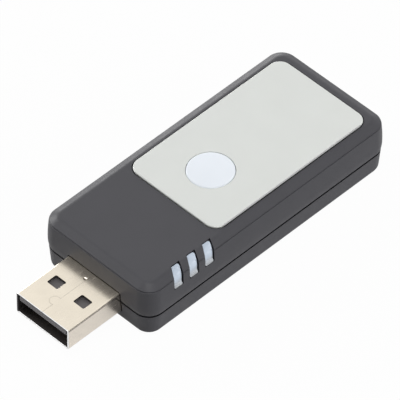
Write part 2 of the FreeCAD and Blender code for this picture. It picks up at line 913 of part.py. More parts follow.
def make_capacitors():
    """Ceramic capacitors in a row beside the supply."""
    y0 = front_y + capacitor_from_front
    blocks = []
    for index in range(capacitor_count):
        block = small_block(0, 0, block_height)
        block.rotate(vec(0, 0, 0), vec(0, 0, 1), 90)
        block.translate(vec(capacitor_side_offset, y0 + capacitor_pitch * index, 0))
        blocks.append(block)
    return Part.makeCompound(blocks)


def make_resistors():
    """One resistor beside each light."""
    x = board_half_width - resistor_from_side
    return Part.makeCompound([small_block(x, slot_centre_y(index), resistor_height)
                              for index in range(slot_count)])


def make_antenna():
    """A stamped strip that stands over the rear of the board on two legs."""
    y1 = rear_y - antenna_from_rear + antenna_depth / 2
    y0 = y1 - antenna_depth
    top = board_top_z + antenna_height
    half = board_half_width - antenna_from_side
    pieces = [box(-half, half, y0, y1, top - antenna_sheet, top)]
    for place in (0, antenna_leg_spacing):
        x = -half + place
        pieces.append(box(x, x + antenna_leg_width, y1 - antenna_sheet, y1, board_top_z, top))
    return join(pieces)


def build():
    nodes = {
        "bottom_cover": make_bottom_cover(),
        "top_cover": make_top_cover(),
        "top_panel": make_top_panel(),
        "panel_adhesive": make_panel_adhesive(),
        "button_cap": make_button_cap(),
        "light_guide": make_light_guide(),
        "plug_shell": make_plug_shell(),
        "plug_insulator": make_plug_insulator(),
        "circuit_board": make_circuit_board(),
        "switch_base": make_switch_base(),
        "switch_cover": make_switch_cover(),
        "switch_stem": make_switch_stem(),
        "switch_dome": make_switch_dome(),
        "shield_can": make_shield_can(),
        "radio_chip": make_radio_chip(),
        "crystal": make_crystal(),
        "memory_chip": make_memory_chip(),
        "voltage_regulator": make_voltage_regulator(),
        "capacitors": make_capacitors(),
        "resistors": make_resistors(),
        "antenna": make_antenna(),
    }
    for number, x in enumerate(contact_places, 1):
        nodes["plug_contact_%d" % number] = make_contact(x)
    for index in range(slot_count):
        nodes["status_led_%d" % (index + 1)] = make_led(index)
    return nodes


os.makedirs("parts", exist_ok=True)
for name, shape in build().items():
    shape.exportStep("parts/%s.step" % name)
    print(name, len(shape.Solids), shape.isValid(), round(shape.Volume, 2))
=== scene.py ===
import math

import bmesh
import bpy
from mathutils import Matrix, Vector


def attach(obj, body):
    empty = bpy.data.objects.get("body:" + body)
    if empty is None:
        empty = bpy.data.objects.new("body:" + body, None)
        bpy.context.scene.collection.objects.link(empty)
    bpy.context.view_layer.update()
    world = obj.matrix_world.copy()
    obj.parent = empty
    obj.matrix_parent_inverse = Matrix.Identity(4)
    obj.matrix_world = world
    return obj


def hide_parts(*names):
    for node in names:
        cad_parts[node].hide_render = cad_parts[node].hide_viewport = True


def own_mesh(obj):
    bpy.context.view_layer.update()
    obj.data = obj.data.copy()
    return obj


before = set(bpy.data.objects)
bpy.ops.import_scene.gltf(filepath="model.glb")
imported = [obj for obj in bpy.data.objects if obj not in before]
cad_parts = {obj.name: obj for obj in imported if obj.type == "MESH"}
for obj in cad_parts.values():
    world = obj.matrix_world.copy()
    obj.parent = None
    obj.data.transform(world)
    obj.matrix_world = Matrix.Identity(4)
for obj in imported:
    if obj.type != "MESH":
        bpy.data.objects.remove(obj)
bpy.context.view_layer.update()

MM = 0.001
CASING = "casing"
BUTTON = "button"

# Working distances and angles
cut_past = 1
touch = 0.01
edge_margin = 0.1
merge_distance = 0.0005
weld_distance = 0.001
sharp_edge_degrees = 25
smooth_shading_degrees = 32

# Casing
plug_reach = 11.65
casing_length = 56.3
casing_width = 25.25
casing_height = 11.2
half_width = casing_width / 2
tip_y = -(plug_reach + casing_length) / 2
front_y = tip_y + plug_reach
rear_y = front_y + casing_length
middle_y = (front_y + rear_y) / 2
corner_radius = 3.1
corner_steps = 18
parting_height = 4.46
parting_inset = 0.18
parting_round = 0.05
shadow_gap = 0.36
rim_fall = 0.5
widest_height = 6.4
swell_steps = 8
crease_height = 10.4
crease_inset = 0.25
crease_x = half_width - crease_inset
crease_groove_width = 0.25
crease_groove_depth = 0.3
crease_foot_round = 0.03
crease_edge_round = 0.05
shoulder_run = 1.45
shoulder_round = 1.5
core_inset = 2.9
side_wall = 1.4
inner_half_width = half_width - side_wall
inner_draft = 0.1
inside_chamfer = 0.5
ceiling_z = 9.8
floor_wall = 1.3
lip_top_z = 5.76
lip_outer_inset = 0.88
lip_round = 0.15
rebate_inset = 0.8
foot_inset = 0.54
foot_round = 1.2
board_bottom_z = 4.65
board_top_z = 5.65
seat_gap = 0.05
bottom_edge_round = 0.06
top_edge_round = 0.07
plug_hole_half = 6.4
plug_hole_depth = 0.9
plug_hole_top_z = 7.2

# Posts, pins, saddles and snap hooks inside the covers
post_half = 1.3
post_x = 8.2
front_post_y = front_y + 19.5
rear_post_y = rear_y - 9.5
pin_radius = 0.75
pin_height = 0.5
pin_steps = 32
saddle_half = 7.4
saddle_y = front_y + 2.2
saddle_thickness = 1.2
hook_y = (front_y + 24.0, rear_y - 12.0)
hook_width = 4.0
hook_thickness = 0.75
hook_gap = 0.12
hook_root = 0.2
hook_foot_z = 2.0
hook_barb = 0.35
hook_barb_height = 0.8
hook_barb_edge = 0.25
hook_lead_in = 0.22

# Panel and button
panel_width = 20.47
panel_front_y = front_y + 17.68
panel_rear_y = rear_y - 2.84
panel_corner = 2.25
panel_rim_width = 2
panel_edge_round = 0.2
panel_undercut = 0.12
panel_undercut_drop = 0.12
panel_gap = 0.2
panel_bottom_z = 10.74
panel_top_z = 11.44
panel_hole_round = 0.05
panel_hole_margin = 0.3
pocket_floor_z = 10.64
pocket_steps = 16
button_y = panel_front_y + 9.12
button_radius = 4.11
button_edge_round = 0.24
button_top_z = 11.54
button_side_rise = 0.02
button_steps = 128
button_crown_steps = 10
button_gap = 0.08
button_hole_radius = 4.41
button_flange_radius = 5.11
button_flange_bottom_z = 8.92
button_flange_top_z = 9.72
button_post_radius = 1.3
button_post_bottom_z = 8.25
button_wall = 1.0

# Light windows
slot_count = 3
slot_pitch = 3.53
slot_width = 2.1
slot_taper = 0.22
first_slot_y = front_y + 6.95
slot_bottom_z = 8.12
slot_inner_x = half_width - 2.18
slot_lean = 0.9
slot_slant = 0.15
slot_edges_x = slot_inner_x - 0.2
slot_edges_y = (first_slot_y - 1.3, first_slot_y + 9.7)
guide_gap = 0.06
guide_inner_gap = 0.14
guide_far_gap = 0.26
guide_corner = 0.35
guide_edge_round = 0.16
guide_notch_width = 0.3
guide_notch_height = 0.4
guide_recess = 0.3
guide_recess_round = 0.2
guide_top_recess = 0.08
guide_round = 1.3
guide_foot_height = 0.35
guide_foot_recess = 0.04
guide_foot_round = 0.15
guide_shade_height = 1.9
guide_bar_thickness = 1.2
guide_bar_gap = 0.05
guide_bar_overhang = 0.6
guide_bar_bottom_z = 7.8
guide_bar_top_z = 9.3
guide_leg_width = 1.4
guide_leg_length = 1.5
guide_leg_bottom_z = 6.55
guide_leg_drop = 0.05

# Plug
plug_width = 12.0
plug_height = 4.5
plug_z = 4.47
plug_top_z = plug_z + plug_height / 2
plug_foot_z = plug_z - plug_height / 2
plug_corner = 0.42
plug_corner_steps = 10
sheet = 0.3
sheet_edge_round = 0.07
plug_gap = 0.17
shell_rear_y = front_y + 4.6
window_width = 2.4
window_length = 2.1
window_spacing = 6.06
window_y = tip_y + 6.2
window_corner = 0.25
window_edge_round = 0.05
window_margin = 0.05
seam_width = 0.03
seam_key_radius = 0.95
seam_key_offset = 0.35
seam_key_reach = 1.2
seam_key_y = tip_y + 3.2
dimple_y = tip_y + 10.0
dimple_radius = 0.34
dimple_depth = 0.1
leg_length = 2.4
leg_height = 1.9
leg_root = 0.2
leg_z = 4.7

# Switch dome
dome_z = 6.35
dome_radius = 2.1
dome_foot_radius = 1.8
dome_flat_radius = 0.8
dome_rise = 0.37
dome_sheet = 0.08
dome_foot_bend = 0.3
dome_flat_bend = 0.6
dome_steps = 64


# Drawing in millimetres

def linked(name, data):
    """A new object in the scene."""
    made = bpy.data.objects.new(name, data)
    bpy.context.scene.collection.objects.link(made)
    return made


def evaluated(carrier):
    """The plain mesh that an object's modifiers make."""
    bpy.context.view_layer.update()
    graph = bpy.context.evaluated_depsgraph_get()
    return bpy.data.meshes.new_from_object(carrier.evaluated_get(graph))


def swell(rise, inset, fraction):
    """How far a wall has drawn in, part of the way up from its widest line."""
    radius = (rise ** 2 + inset ** 2) / (2 * inset)
    return radius - math.sqrt(radius ** 2 - (rise * fraction) ** 2)


def wall_inset(z):
    """How far the top cover's side has drawn in at a height."""
    rise = crease_height - widest_height
    return swell(rise, crease_inset, (z - widest_height) / rise)


def softened(points, steps=6):
    """Points of an outline, with an arc in place of each corner that names a radius."""
    made = []
    for index, point in enumerate(points):
        here = Vector(point[:2])
        if len(point) == 2:
            made.append(here)
            continue
        before = (Vector(points[index - 1][:2]) - here).normalized()
        after = (Vector(points[(index + 1) % len(points)][:2]) - here).normalized()
        half = before.angle(after) / 2
        reach = point[2] / math.tan(half)
        centre = here + (before + after).normalized() * point[2] / math.sin(half)
        start = here + before * reach - centre
        end = here + after * reach - centre
        turn = start.angle_signed(end)
        for step in range(steps + 1):
            bent = start.copy()
            bent.rotate(Matrix.Rotation(-turn * step / steps, 2))
            made.append(centre + bent)
    return made


def profile_mesh(points, closed=False):
    """A run of points, across and up, as a mesh of edges for a node tree to carry along a path.

    A path's own down is the second axis of its profile, so heights change sign here.
    """
    mesh = bpy.data.meshes.new("profile")
    count = len(points)
    edges = [(n, (n + 1) % count) for n in range(count if closed else count - 1)]
    mesh.from_pydata([(p[0], -p[1], 0) for p in points], edges, [])
    return mesh


def settled(shape):
    """Turns an edited shape into a mesh of its own."""
    mesh = bpy.data.meshes.new("shape")
    shape.to_mesh(mesh)
    shape.free()
    return mesh


def prism(points, axis, low, high):
    """A straight block with an outline, along x, y or z."""
    shape = bmesh.new()
    spread = {"x": lambda a, b, c: (c, a, b),
              "y": lambda a, b, c: (a, c, b),
              "z": lambda a, b, c: (a, b, c)}[axis]
    rings = [[shape.verts.new(spread(p[0], p[1], end)) for p in points] for end in (low, high)]
    for ring in rings:
        shape.faces.new(ring)
    lower, upper = rings
    for n, after in zip(range(len(points)), list(range(1, len(points))) + [0]):
        shape.faces.new((lower[n], lower[after], upper[after], upper[n]))
    bmesh.ops.recalc_face_normals(shape, faces=shape.faces)
    return settled(shape)


def block(x0, x1, y0, y1, z0, z1):
    return prism([(x0, y0), (x1, y0), (x1, y1), (x0, y1)], "z", z0, z1)


def rounded_block(x0, x1, y0, y1, radius, axis, low, high, steps=8):
    corners = [(x0, y0, radius), (x1, y0, radius), (x1, y1, radius), (x0, y1, radius)]
    return prism(softened(corners, steps), axis, low, high)


def drum(radius, x, y, z0, z1, steps=96):
    turns = [math.tau * n / steps for n in range(steps)]
    points = [(x + radius * math.cos(turn), y + radius * math.sin(turn)) for turn in turns]
    return prism(points, "z", z0, z1)


def closed_up(mesh):
    """Closes open rims with flat faces, merges doubles and points the faces outwards."""
    shape = bmesh.new()
    shape.from_mesh(mesh)
    bmesh.ops.remove_doubles(shape, verts=shape.verts, dist=merge_distance)
    rims = [edge for edge in shape.edges if len(edge.link_faces) == 1]
    bmesh.ops.holes_fill(shape, edges=rims, sides=0)
    bmesh.ops.recalc_face_normals(shape, faces=shape.faces)
    return settled(shape)


def carved(mesh, others, operation="DIFFERENCE"):
    """Cuts other shapes out of a mesh, or joins them to it."""
    carrier = linked("carrier", mesh)
    tools = []
    for other in others:
        tool = linked("tool", other)
        tools.append(tool)
        step = carrier.modifiers.new("carve", "BOOLEAN")
        step.operation = operation
        step.solver = "EXACT"
        step.object = tool
    result = evaluated(carrier)
    for temporary in [carrier] + tools:
        bpy.data.objects.remove(temporary)
    return result


def welded(mesh, distance):
    """A mesh opened for editing, without doubles and slivers."""
    shape = bmesh.new()
    shape.from_mesh(mesh)
    bmesh.ops.remove_doubles(shape, verts=shape.verts, dist=distance)
    bmesh.ops.dissolve_degenerate(shape, edges=shape.edges, dist=distance)
    return shape


def eased(mesh, width, chosen, steps=2):
    """Rounds the sharp edges that a rule picks."""
    shape = welded(mesh, merge_distance)
    sharpest = math.radians(sharp_edge_degrees)
    edges = [edge for edge in shape.edges
             if len(edge.link_faces) == 2 and edge.calc_face_angle(0) > sharpest
             and all(chosen(vert.co) for vert in edge.verts)]
    bmesh.ops.bevel(shape, geom=edges, offset=width, offset_type="OFFSET", segments=steps,
                    profile=0.5, affect="EDGES", clamp_overlap=True)
    return settled(shape)


# Node trees

def add(tree, kind, values=None, **settings):
    """One node, with its settings and with values or links for its sockets."""
    node = tree.nodes.new(kind)
    for name, value in settings.items():
        setattr(node, name, value)
    for name, value in (values or {}).items():
        if isinstance(value, bpy.types.NodeSocket):
            tree.links.new(value, node.inputs[name])
        else:
            node.inputs[name].default_value = value
    return node


def shape_tree(name, sizes):
    """A Geometry Nodes tree with a geometry input and output, and named inputs for its sizes."""
    tree = bpy.data.node_groups.new(name, "GeometryNodeTree")
    for way in ("OUTPUT", "INPUT"):
        tree.interface.new_socket(name="Geometry", in_out=way, socket_type="NodeSocketGeometry")
    for size, kind in sizes.items():
        tree.interface.new_socket(name=size, in_out="INPUT", socket_type="NodeSocket" + kind)
    return tree, add(tree, "NodeGroupInput").outputs


def finish_tree(tree, geometry, inputs):
    """Makes the tree's shape real, gives it its material and brings it out."""
    real = add(tree, "GeometryNodeRealizeInstances", {"Geometry": geometry})
    painted = add(tree, "GeometryNodeSetMaterial",
                  {"Geometry": real.outputs[0], "Material": inputs["Material"]})
    end = add(tree, "NodeGroupOutput")
    tree.links.new(painted.outputs[0], end.inputs[0])
    return tree


def carry_along(tree, path, inputs, closed=None):
    """Carries the tree's profile along a level path, then moves it to its place."""
    upright = add(tree, "GeometryNodeSetCurveNormal", {"Curve": path.outputs[0]}, mode="Z_UP")
    profile = add(tree, "GeometryNodeMeshToCurve", {"Mesh": inputs["Geometry"]})
    if closed is not None:
        profile = add(tree, "GeometryNodeSetSplineCyclic",
                      {"Geometry": profile.outputs[0], "Cyclic": closed})
    wall = add(tree, "GeometryNodeCurveToMesh",
               {"Curve": upright.outputs[0], "Profile Curve": profile.outputs[0]})
    placed = add(tree, "GeometryNodeTransform",
                 {"Geometry": wall.outputs[0], "Translation": inputs["Place"]})
    return finish_tree(tree, placed.outputs[0], inputs)


def make_outline_sweep():
    """Carries an open or closed profile round a rounded rectangle, square to the path."""
    tree, inputs = shape_tree("profile_round_outline", {
        "Width": "Float", "Length": "Float", "Corner radius": "Float", "Corner steps": "Int",
        "Closed profile": "Bool", "Place": "Vector", "Material": "Material"})
    outline = add(tree, "GeometryNodeCurvePrimitiveQuadrilateral",
                  {"Width": inputs["Width"], "Height": inputs["Length"]})
    rounded = add(tree, "GeometryNodeFilletCurve", {
        "Curve": outline.outputs[0], "Count": inputs["Corner steps"],
        "Radius": inputs["Corner radius"]}, mode="POLY")
    return carry_along(tree, rounded, inputs, closed=inputs["Closed profile"])


def make_turning():
    """Turns a profile about an upright axis."""
    tree, inputs = shape_tree("profile_round_axis", {
        "Radius": "Float", "Steps": "Int", "Place": "Vector", "Material": "Material"})
    ring = add(tree, "GeometryNodeCurvePrimitiveCircle",
               {"Resolution": inputs["Steps"], "Radius": inputs["Radius"]})
    return carry_along(tree, ring, inputs)


def make_row():
    """Repeats a shape in a straight row."""
    tree, inputs = shape_tree("shape_in_a_row", {
        "Count": "Int", "Step": "Vector", "Material": "Material"})
    places = add(tree, "GeometryNodeMeshLine",
                 {"Count": inputs["Count"], "Offset": inputs["Step"]}, mode="OFFSET")
    row = add(tree, "GeometryNodeInstanceOnPoints",
              {"Points": places.outputs[0], "Instance": inputs["Geometry"]})
    return finish_tree(tree, row.outputs[0], inputs)


def grown(mesh, tree, sizes):
    """The plain mesh that a node tree makes from a mesh and named sizes."""
    carrier = linked("carrier", mesh)
    step = carrier.modifiers.new("grow", "NODES")
    step.node_group = tree
    for item in tree.interface.items_tree:
        if item.in_out == "INPUT" and item.name in sizes:
            step[item.identifier] = sizes[item.name]
    result = evaluated(carrier)
    bpy.data.objects.remove(carrier)
    return result


outline_sweep = make_outline_sweep()
turning = make_turning()
row = make_row()


def swept(profile, width, length, radius, steps, place, material, closed=False):
    """Carries a profile, as inset and height, round a rounded rectangle."""
    points = [(-inset, z) for inset, z in profile]
    return closed_up(grown(profile_mesh(points, closed), outline_sweep, {
        "Width": width, "Length": length, "Corner radius": radius, "Corner steps": steps,
        "Closed profile": closed, "Place": place, "Material": material}))


def turned(profile, radius, steps, material):
    """Turns a profile, as distance from the axis and height, about the button's axis."""
    points = [(x - radius, z) for x, z in profile]
    return closed_up(grown(profile_mesh(points), turning, {
        "Radius": radius, "Steps": steps, "Place": (0, button_y, 0), "Material": material}))


def finished(name, mesh, material, body, stands_for):
    """Brings a drawn mesh to metres, smooths it and hands it to its body."""
    mesh = settled(welded(mesh, weld_distance))
    mesh.transform(Matrix.Scale(MM, 4))
    mesh.name = name
    mesh.materials.clear()
    mesh.materials.append(material)
    mesh.shade_smooth()
    mesh.set_sharp_from_angle(angle=math.radians(smooth_shading_degrees))
    piece = linked(name, mesh)
    even = piece.modifiers.new("even_shading", "WEIGHTED_NORMAL")
    even.keep_sharp = True
    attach(piece, body)
    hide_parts(*stands_for)
    return piece


# Finishes. The sizes of spots and streaks and the reliefs are in millimetres.

pattern_low = 0.3
pattern_high = 0.7
cloud_size = 6.0
polish_spot_size = 2.5
tarnish_size = 3.0
streak_size = 0.25
weave_size = 0.9
lacquer_spot_size = 1.5
coat_roughness = 0.12
glow_depth = 0.6


def shader_of(material):
    return next(node for node in material.node_tree.nodes if node.type == "BSDF_PRINCIPLED")


def position_in(tree):
    """A pattern position fixed to the piece."""
    return add(tree, "ShaderNodeTexCoord").outputs["Object"]


def surface(name):
    """A material with its shader and a pattern position fixed to the piece."""
    material = bpy.data.materials.new(name)
    material.use_nodes = True
    tree = material.node_tree
    return material, tree, shader_of(material), position_in(tree)


def maths(tree, operation, *values, kind="ShaderNodeMath"):
    """The result of one sum on values or links."""
    return add(tree, kind, dict(enumerate(values)), operation=operation).outputs[0]


def noise(tree, position, size, detail=3.0):
    """Soft cloud pattern whose spots are about as large as the size."""
    return add(tree, "ShaderNodeTexNoise",
               {"Vector": position, "Scale": 1 / (size * MM), "Detail": detail}).outputs[0]


def between(tree, factor, low, high):
    """Spreads a pattern between two numbers."""
    return add(tree, "ShaderNodeMapRange", {
        "Value": factor, "From Min": pattern_low, "From Max": pattern_high,
        "To Min": low, "To Max": high}).outputs[0]


def tinted(tree, factor, dark, light):
    """Spreads a pattern between two colours."""
    ramp = add(tree, "ShaderNodeValToRGB", {"Fac": factor})
    places = (pattern_low, pattern_high)
    for stop, position, colour in zip(ramp.color_ramp.elements, places, (dark, light)):
        stop.position = position
        stop.color = (*colour, 1)
    return ramp.outputs[0]


def shaded(colour, share):
    return tuple(channel * share for channel in colour)


def polished(tree, shader, pattern, roughness, spread):
    """Lets a pattern vary the polish a little round a roughness."""
    polish = between(tree, pattern, roughness * (1 - spread), roughness * (1 + spread))
    tree.links.new(polish, shader.inputs["Roughness"])


def grained(tree, shader, pattern, relief, strength):
    """Lets a pattern stand out of the surface."""
    texture = add(tree, "ShaderNodeBump",
                  {"Height": pattern, "Strength": strength, "Distance": relief * MM})
    tree.links.new(texture.outputs[0], shader.inputs["Normal"])


def moulded(name, colour, roughness, grain=0.12, relief=0.004, mottling=0.03, specular=0.5,
            coat=0.0, glow=0.0):
    """Moulded plastic: faint cloudy tone, uneven polish and a fine grain from the mould."""
    material, tree, shader, position = surface(name)
    tone = tinted(tree, noise(tree, position, cloud_size),
                  shaded(colour, 1 - mottling), shaded(colour, 1 + mottling))
    tree.links.new(tone, shader.inputs["Base Color"])
    polished(tree, shader, noise(tree, position, polish_spot_size), roughness, spread=0.08)
    grained(tree, shader, noise(tree, position, grain, detail=2.0), relief, strength=0.5)
    shader.inputs["Specular IOR Level"].default_value = specular
    shader.inputs["Coat Weight"].default_value = coat
    shader.inputs["Coat Roughness"].default_value = coat_roughness
    if glow:
        shader.inputs["Subsurface Weight"].default_value = glow
        shader.inputs["Subsurface Radius"].default_value = (1.0, 1.0, 1.0)
        shader.inputs["Subsurface Scale"].default_value = glow_depth * MM
    return material


def plated(name, colour, roughness, along=(1, 1, 1), relief=0.0015):
    """Thin plated metal with faint rolling streaks and small differences in polish."""
    material, tree, shader, position = surface(name)
    stretched = add(tree, "ShaderNodeMapping", {"Vector": position, "Scale": along}).outputs[0]
    tone = tinted(tree, noise(tree, position, tarnish_size),
                  shaded(colour, 0.97), shaded(colour, 1.02))
    tree.links.new(tone, shader.inputs["Base Color"])
    streaks = noise(tree, stretched, streak_size, detail=4.0)
    polished(tree, shader, streaks, roughness, spread=0.15)
    grained(tree, shader, streaks, relief, strength=0.35)
    shader.inputs["Metallic"].default_value = 1.0
    return material


def laminate(name, colour):
    """Board laminate: the woven cloth shows faintly through the lacquer."""
    material, tree, shader, position = surface(name)
    threads = {"Color1": 0.9, "Color2": 1.1, "Mortar": 0.7}
    weave = add(tree, "ShaderNodeTexBrick", {
        "Vector": position, "Scale": 1 / (weave_size * MM), "Mortar Size": 0.02,
        "Brick Width": 0.5, "Row Height": 0.5,
        **{thread: (*shaded(colour, share), 1) for thread, share in threads.items()}})
    tree.links.new(weave.outputs[0], shader.inputs["Base Color"])
    lacquer = between(tree, noise(tree, position, lacquer_spot_size), 0.28, 0.4)
    tree.links.new(lacquer, shader.inputs["Roughness"])
    return material


def shade_painted_towards_foot(material, low_z, high_z, foot_shade_colour):
    """Paints shade into a moulding's colour: blends it into a darker one towards its foot."""
    tree = material.node_tree
    shader = shader_of(material)
    height = add(tree, "ShaderNodeSeparateXYZ", {"Vector": position_in(tree)}).outputs["Z"]
    up = add(tree, "ShaderNodeMapRange",
             {"Value": height, "From Min": low_z * MM, "From Max": high_z * MM},
             interpolation_type="SMOOTHSTEP").outputs[0]
    tone = shader.inputs["Base Color"].links[0].from_socket
    faded = add(tree, "ShaderNodeMixRGB", {"Fac": up, "Color1": (*foot_shade_colour, 1), "Color2": tone})
    tree.links.new(faded.outputs[0], shader.inputs["Base Color"])


def paint_light_and_tone_in_box(material, low, high, share, tone=(1, 1, 1), roughness=0.0):
    """Gives the faces inside a box a painted tone, mostly painted shade and highlights, and makes
    them as dull as it names.
    """
    tree = material.node_tree
    shader = shader_of(material)
    centre = [(a + b) / 2 * MM for a, b in zip(low, high)]
    half = [(b - a) / 2 * MM for a, b in zip(low, high)]
    offset = maths(tree, "SUBTRACT", position_in(tree), centre, kind="ShaderNodeVectorMath")
    offset = maths(tree, "ABSOLUTE", offset, kind="ShaderNodeVectorMath")
    beyond = maths(tree, "SUBTRACT", offset, half, kind="ShaderNodeVectorMath")
    parts = add(tree, "ShaderNodeSeparateXYZ", {"Vector": beyond}).outputs
    most = maths(tree, "MAXIMUM", maths(tree, "MAXIMUM", parts["X"], parts["Y"]), parts["Z"])
    inside = maths(tree, "LESS_THAN", most, 0.0)
    before = shader.inputs["Base Color"].links[0].from_socket
    after = add(tree, "ShaderNodeMixRGB",
                {"Fac": inside, "Color1": before, "Color2": (*shaded(tone, share), 1)})
    tree.links.new(after.outputs[0], shader.inputs["Base Color"])
    if roughness:
        before = shader.inputs["Roughness"].links[0].from_socket
        least = maths(tree, "MULTIPLY", inside, roughness)
        tree.links.new(maths(tree, "MAXIMUM", before, least), shader.inputs["Roughness"])


casing_plastic = moulded("casing_plastic", (0.0462, 0.0458, 0.0525), 0.46, grain=0.16,
                         relief=0.005, specular=0.39)
panel_plastic = moulded("panel_plastic", (0.735, 0.755, 0.728), 0.2, grain=0.5, relief=0.003,
                        mottling=0.012)
button_plastic = moulded("button_plastic", (0.85, 0.895, 0.952), 0.32, grain=0.5, relief=0.003,
                         mottling=0.01)
light_guide_plastic = moulded("light_guide_plastic", (0.505, 0.578, 0.675), 0.3, grain=0.2,
                              relief=0.004, mottling=0.04, coat=0.2)
adhesive_film = moulded("adhesive_film", (0.25, 0.25, 0.24), 0.6, grain=0.3)
plug_steel = plated("plug_steel", (0.815, 0.744, 0.627), 0.24, along=(1, 0.08, 1), relief=0.0008)
plug_plastic = moulded("plug_plastic", (0.138, 0.128, 0.13), 0.42, grain=0.1)
contact_metal = plated("contact_metal", (0.88, 0.66, 0.30), 0.2, along=(1, 0.1, 1))
board_laminate = laminate("board_laminate", (0.02, 0.11, 0.05))
switch_plastic = moulded("switch_plastic", (0.02, 0.02, 0.022), 0.5)
switch_metal = plated("switch_metal", (0.72, 0.72, 0.72), 0.3)
can_metal = plated("can_metal", (0.70, 0.70, 0.69), 0.32, along=(0.1, 1, 1))
chip_plastic = moulded("chip_plastic", (0.018, 0.018, 0.02), 0.55, grain=0.08)
capacitor_ceramic = moulded("capacitor_ceramic", (0.36, 0.24, 0.14), 0.5, grain=0.1, mottling=0.1)
antenna_metal = plated("antenna_metal", (0.78, 0.74, 0.64), 0.28, along=(0.1, 1, 1))
led_resin = moulded("led_resin", (0.72, 0.70, 0.58), 0.35, glow=0.3)

# Painted shade on the panel's long edge on the windows' side, and painted shade on the window
# heads, greyer towards their feet.
painted_shade_edge_x = panel_width / 2 - 0.14
paint_light_and_tone_in_box(panel_plastic, (painted_shade_edge_x, panel_front_y + panel_corner / 2, 0),
             (panel_width, panel_rear_y, panel_top_z + cut_past), share=0.4)
# Painted shade: the window heads turn greyer towards their feet, deep in the slots.
shade_painted_towards_foot(light_guide_plastic, slot_bottom_z, slot_bottom_z + guide_shade_height,
            foot_shade_colour=(0.37, 0.385, 0.40))

# Painted shade and painted highlights on the plug, and the tongue's front tone. Each row has a
# material, the two corners of a box, a share of white, a tint and a least roughness. Later rows
# lie over earlier ones.
past_tip_y = tip_y - cut_past
past_rear_y = shell_rear_y + cut_past
inner_x = plug_width / 2 - sheet + 0.02
inner_z = plug_height / 2 - sheet + 0.02
side_x = plug_width / 2 - 0.03
cut_edge = 0.06
cut_edge_y = window_length / 2 + cut_edge
rim_x = inner_x - 0.02
rim_y = tip_y + 0.1
rim_z = plug_top_z - 0.09
bend_z = plug_foot_z + 0.25
painted_shade_rim_y = tip_y + 0.05
fold_y = tip_y + 0.15
fold_z = (plug_top_z - 0.42, plug_top_z - 0.2)
lip_y = tip_y + 1.2
WHITE = (1, 1, 1)
plug_painted_light_and_tone = [
    # Painted shade on the sleeve's inside, which is also made dull
    (plug_steel, (-inner_x, past_tip_y, plug_z - inner_z),
     (inner_x, past_rear_y, plug_z + inner_z), 0.07, (1, 0.9, 0.87), 0.6),
    # Painted shade on the cut edges of the two windows
    (plug_steel, (-inner_x, window_y - cut_edge_y, plug_foot_z + cut_edge),
     (inner_x, window_y + cut_edge_y, plug_top_z - cut_edge), 0.06, WHITE, 0),
    # Painted light on the side face, and a painted dark reflection in the fold along it
    (plug_steel, (side_x, tip_y, plug_foot_z), (plug_width, shell_rear_y, plug_top_z),
     1, (0.96, 0.885, 0.785), 0),
    (plug_steel, (inner_x, fold_y, fold_z[0]), (plug_width, shell_rear_y, fold_z[1]),
     0.4, (1, 0.9, 0.8), 0),
    # The mouth's rim: painted shade at the left, painted highlights above and below
    (plug_steel, (-plug_width, past_tip_y, 0), (rim_x, painted_shade_rim_y, rim_z), 0.1, WHITE, 0),
    (plug_steel, (-plug_width, past_tip_y, rim_z), (plug_width, rim_y, plug_top_z + cut_past),
     0.92, WHITE, 0),
    (plug_steel, (-inner_x, past_tip_y, 0), (plug_width, rim_y, plug_foot_z + sheet),
     0.98, WHITE, 0),
    # Painted highlights on the lower bend and on the rim at the right
    (plug_steel, (inner_x, past_tip_y, 0), (plug_width, shell_rear_y, bend_z), 0.98, WHITE, 0),
    (plug_steel, (rim_x, past_tip_y, 0), (plug_width, rim_y, plug_top_z), 0.95, WHITE, 0),
    # The dark front of the tongue
    (plug_plastic, (-plug_width, past_tip_y, 0), (plug_width, lip_y, plug_top_z),
     0.14, (1, 0.95, 1), 0),
]
for painted_box in plug_painted_light_and_tone:
    paint_light_and_tone_in_box(*painted_box)

solid_finishes = {
    "panel_adhesive": adhesive_film,
    "plug_insulator": plug_plastic,
    "circuit_board": board_laminate,
    "switch_base": switch_plastic,
    "switch_cover": switch_metal,
    "switch_stem": switch_plastic,
    "shield_can": can_metal,
    "radio_chip": chip_plastic,
    "crystal": can_metal,
    "memory_chip": chip_plastic,
    "voltage_regulator": chip_plastic,
    "capacitors": capacitor_ceramic,
    "resistors": chip_plastic,
    "antenna": antenna_metal,
}
solid_finishes.update({"plug_contact_%d" % number: contact_metal for number in (1, 2, 3, 4)})
solid_finishes.update({"status_led_%d" % number: led_resin for number in (1, 2, 3)})
for node, finish in solid_finishes.items():
    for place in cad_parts[node].material_slots:
        place.material = finish


# Casing

def plug_block(clearance, y0, y1):
    """The plug's outside as a block along Y, grown by a clearance."""
    half = plug_width / 2 + clearance
    return rounded_block(-half, half, plug_foot_z - clearance, plug_top_z + clearance,
                         plug_corner + clearance, "y", y0, y1)


def plug_opening():
    """What the plug needs cut away: a loose hole in the front wall, a close fit in the saddle."""
    return [plug_block(plug_gap, front_y - cut_past, saddle_y),
            plug_block(0, front_y, shell_rear_y)]


def casing_sweep(profile):
    """Carries a wall profile, as inset and height, round the casing's outline."""
    return swept(profile, casing_width, casing_length, corner_radius, corner_steps,
                 (0, middle_y, 0), casing_plastic)


def slot_outline(index, near_gap=0.0, inner_gap=0.0, far_gap=0.0, corner=0.0):
    """Plan of one light window: square to the wall, then leaning back and narrowing inwards."""
    middle = first_slot_y + slot_pitch * index
    near = middle - slot_width / 2 + near_gap
    far = middle + slot_width / 2 - far_gap
    inner = slot_inner_x + inner_gap
    reach = (crease_x - inner) / (crease_x - slot_inner_x)
    near_end = (inner, near + (slot_lean + slot_taper / 2) * reach)
    far_end = (inner, far + (slot_lean - slot_taper / 2) * reach)
    outer = half_width + cut_past
    if corner:
        far_end += (corner,)
    return softened([(outer, near), (crease_x, near), near_end, far_end, (crease_x, far),
                     (outer, far)])


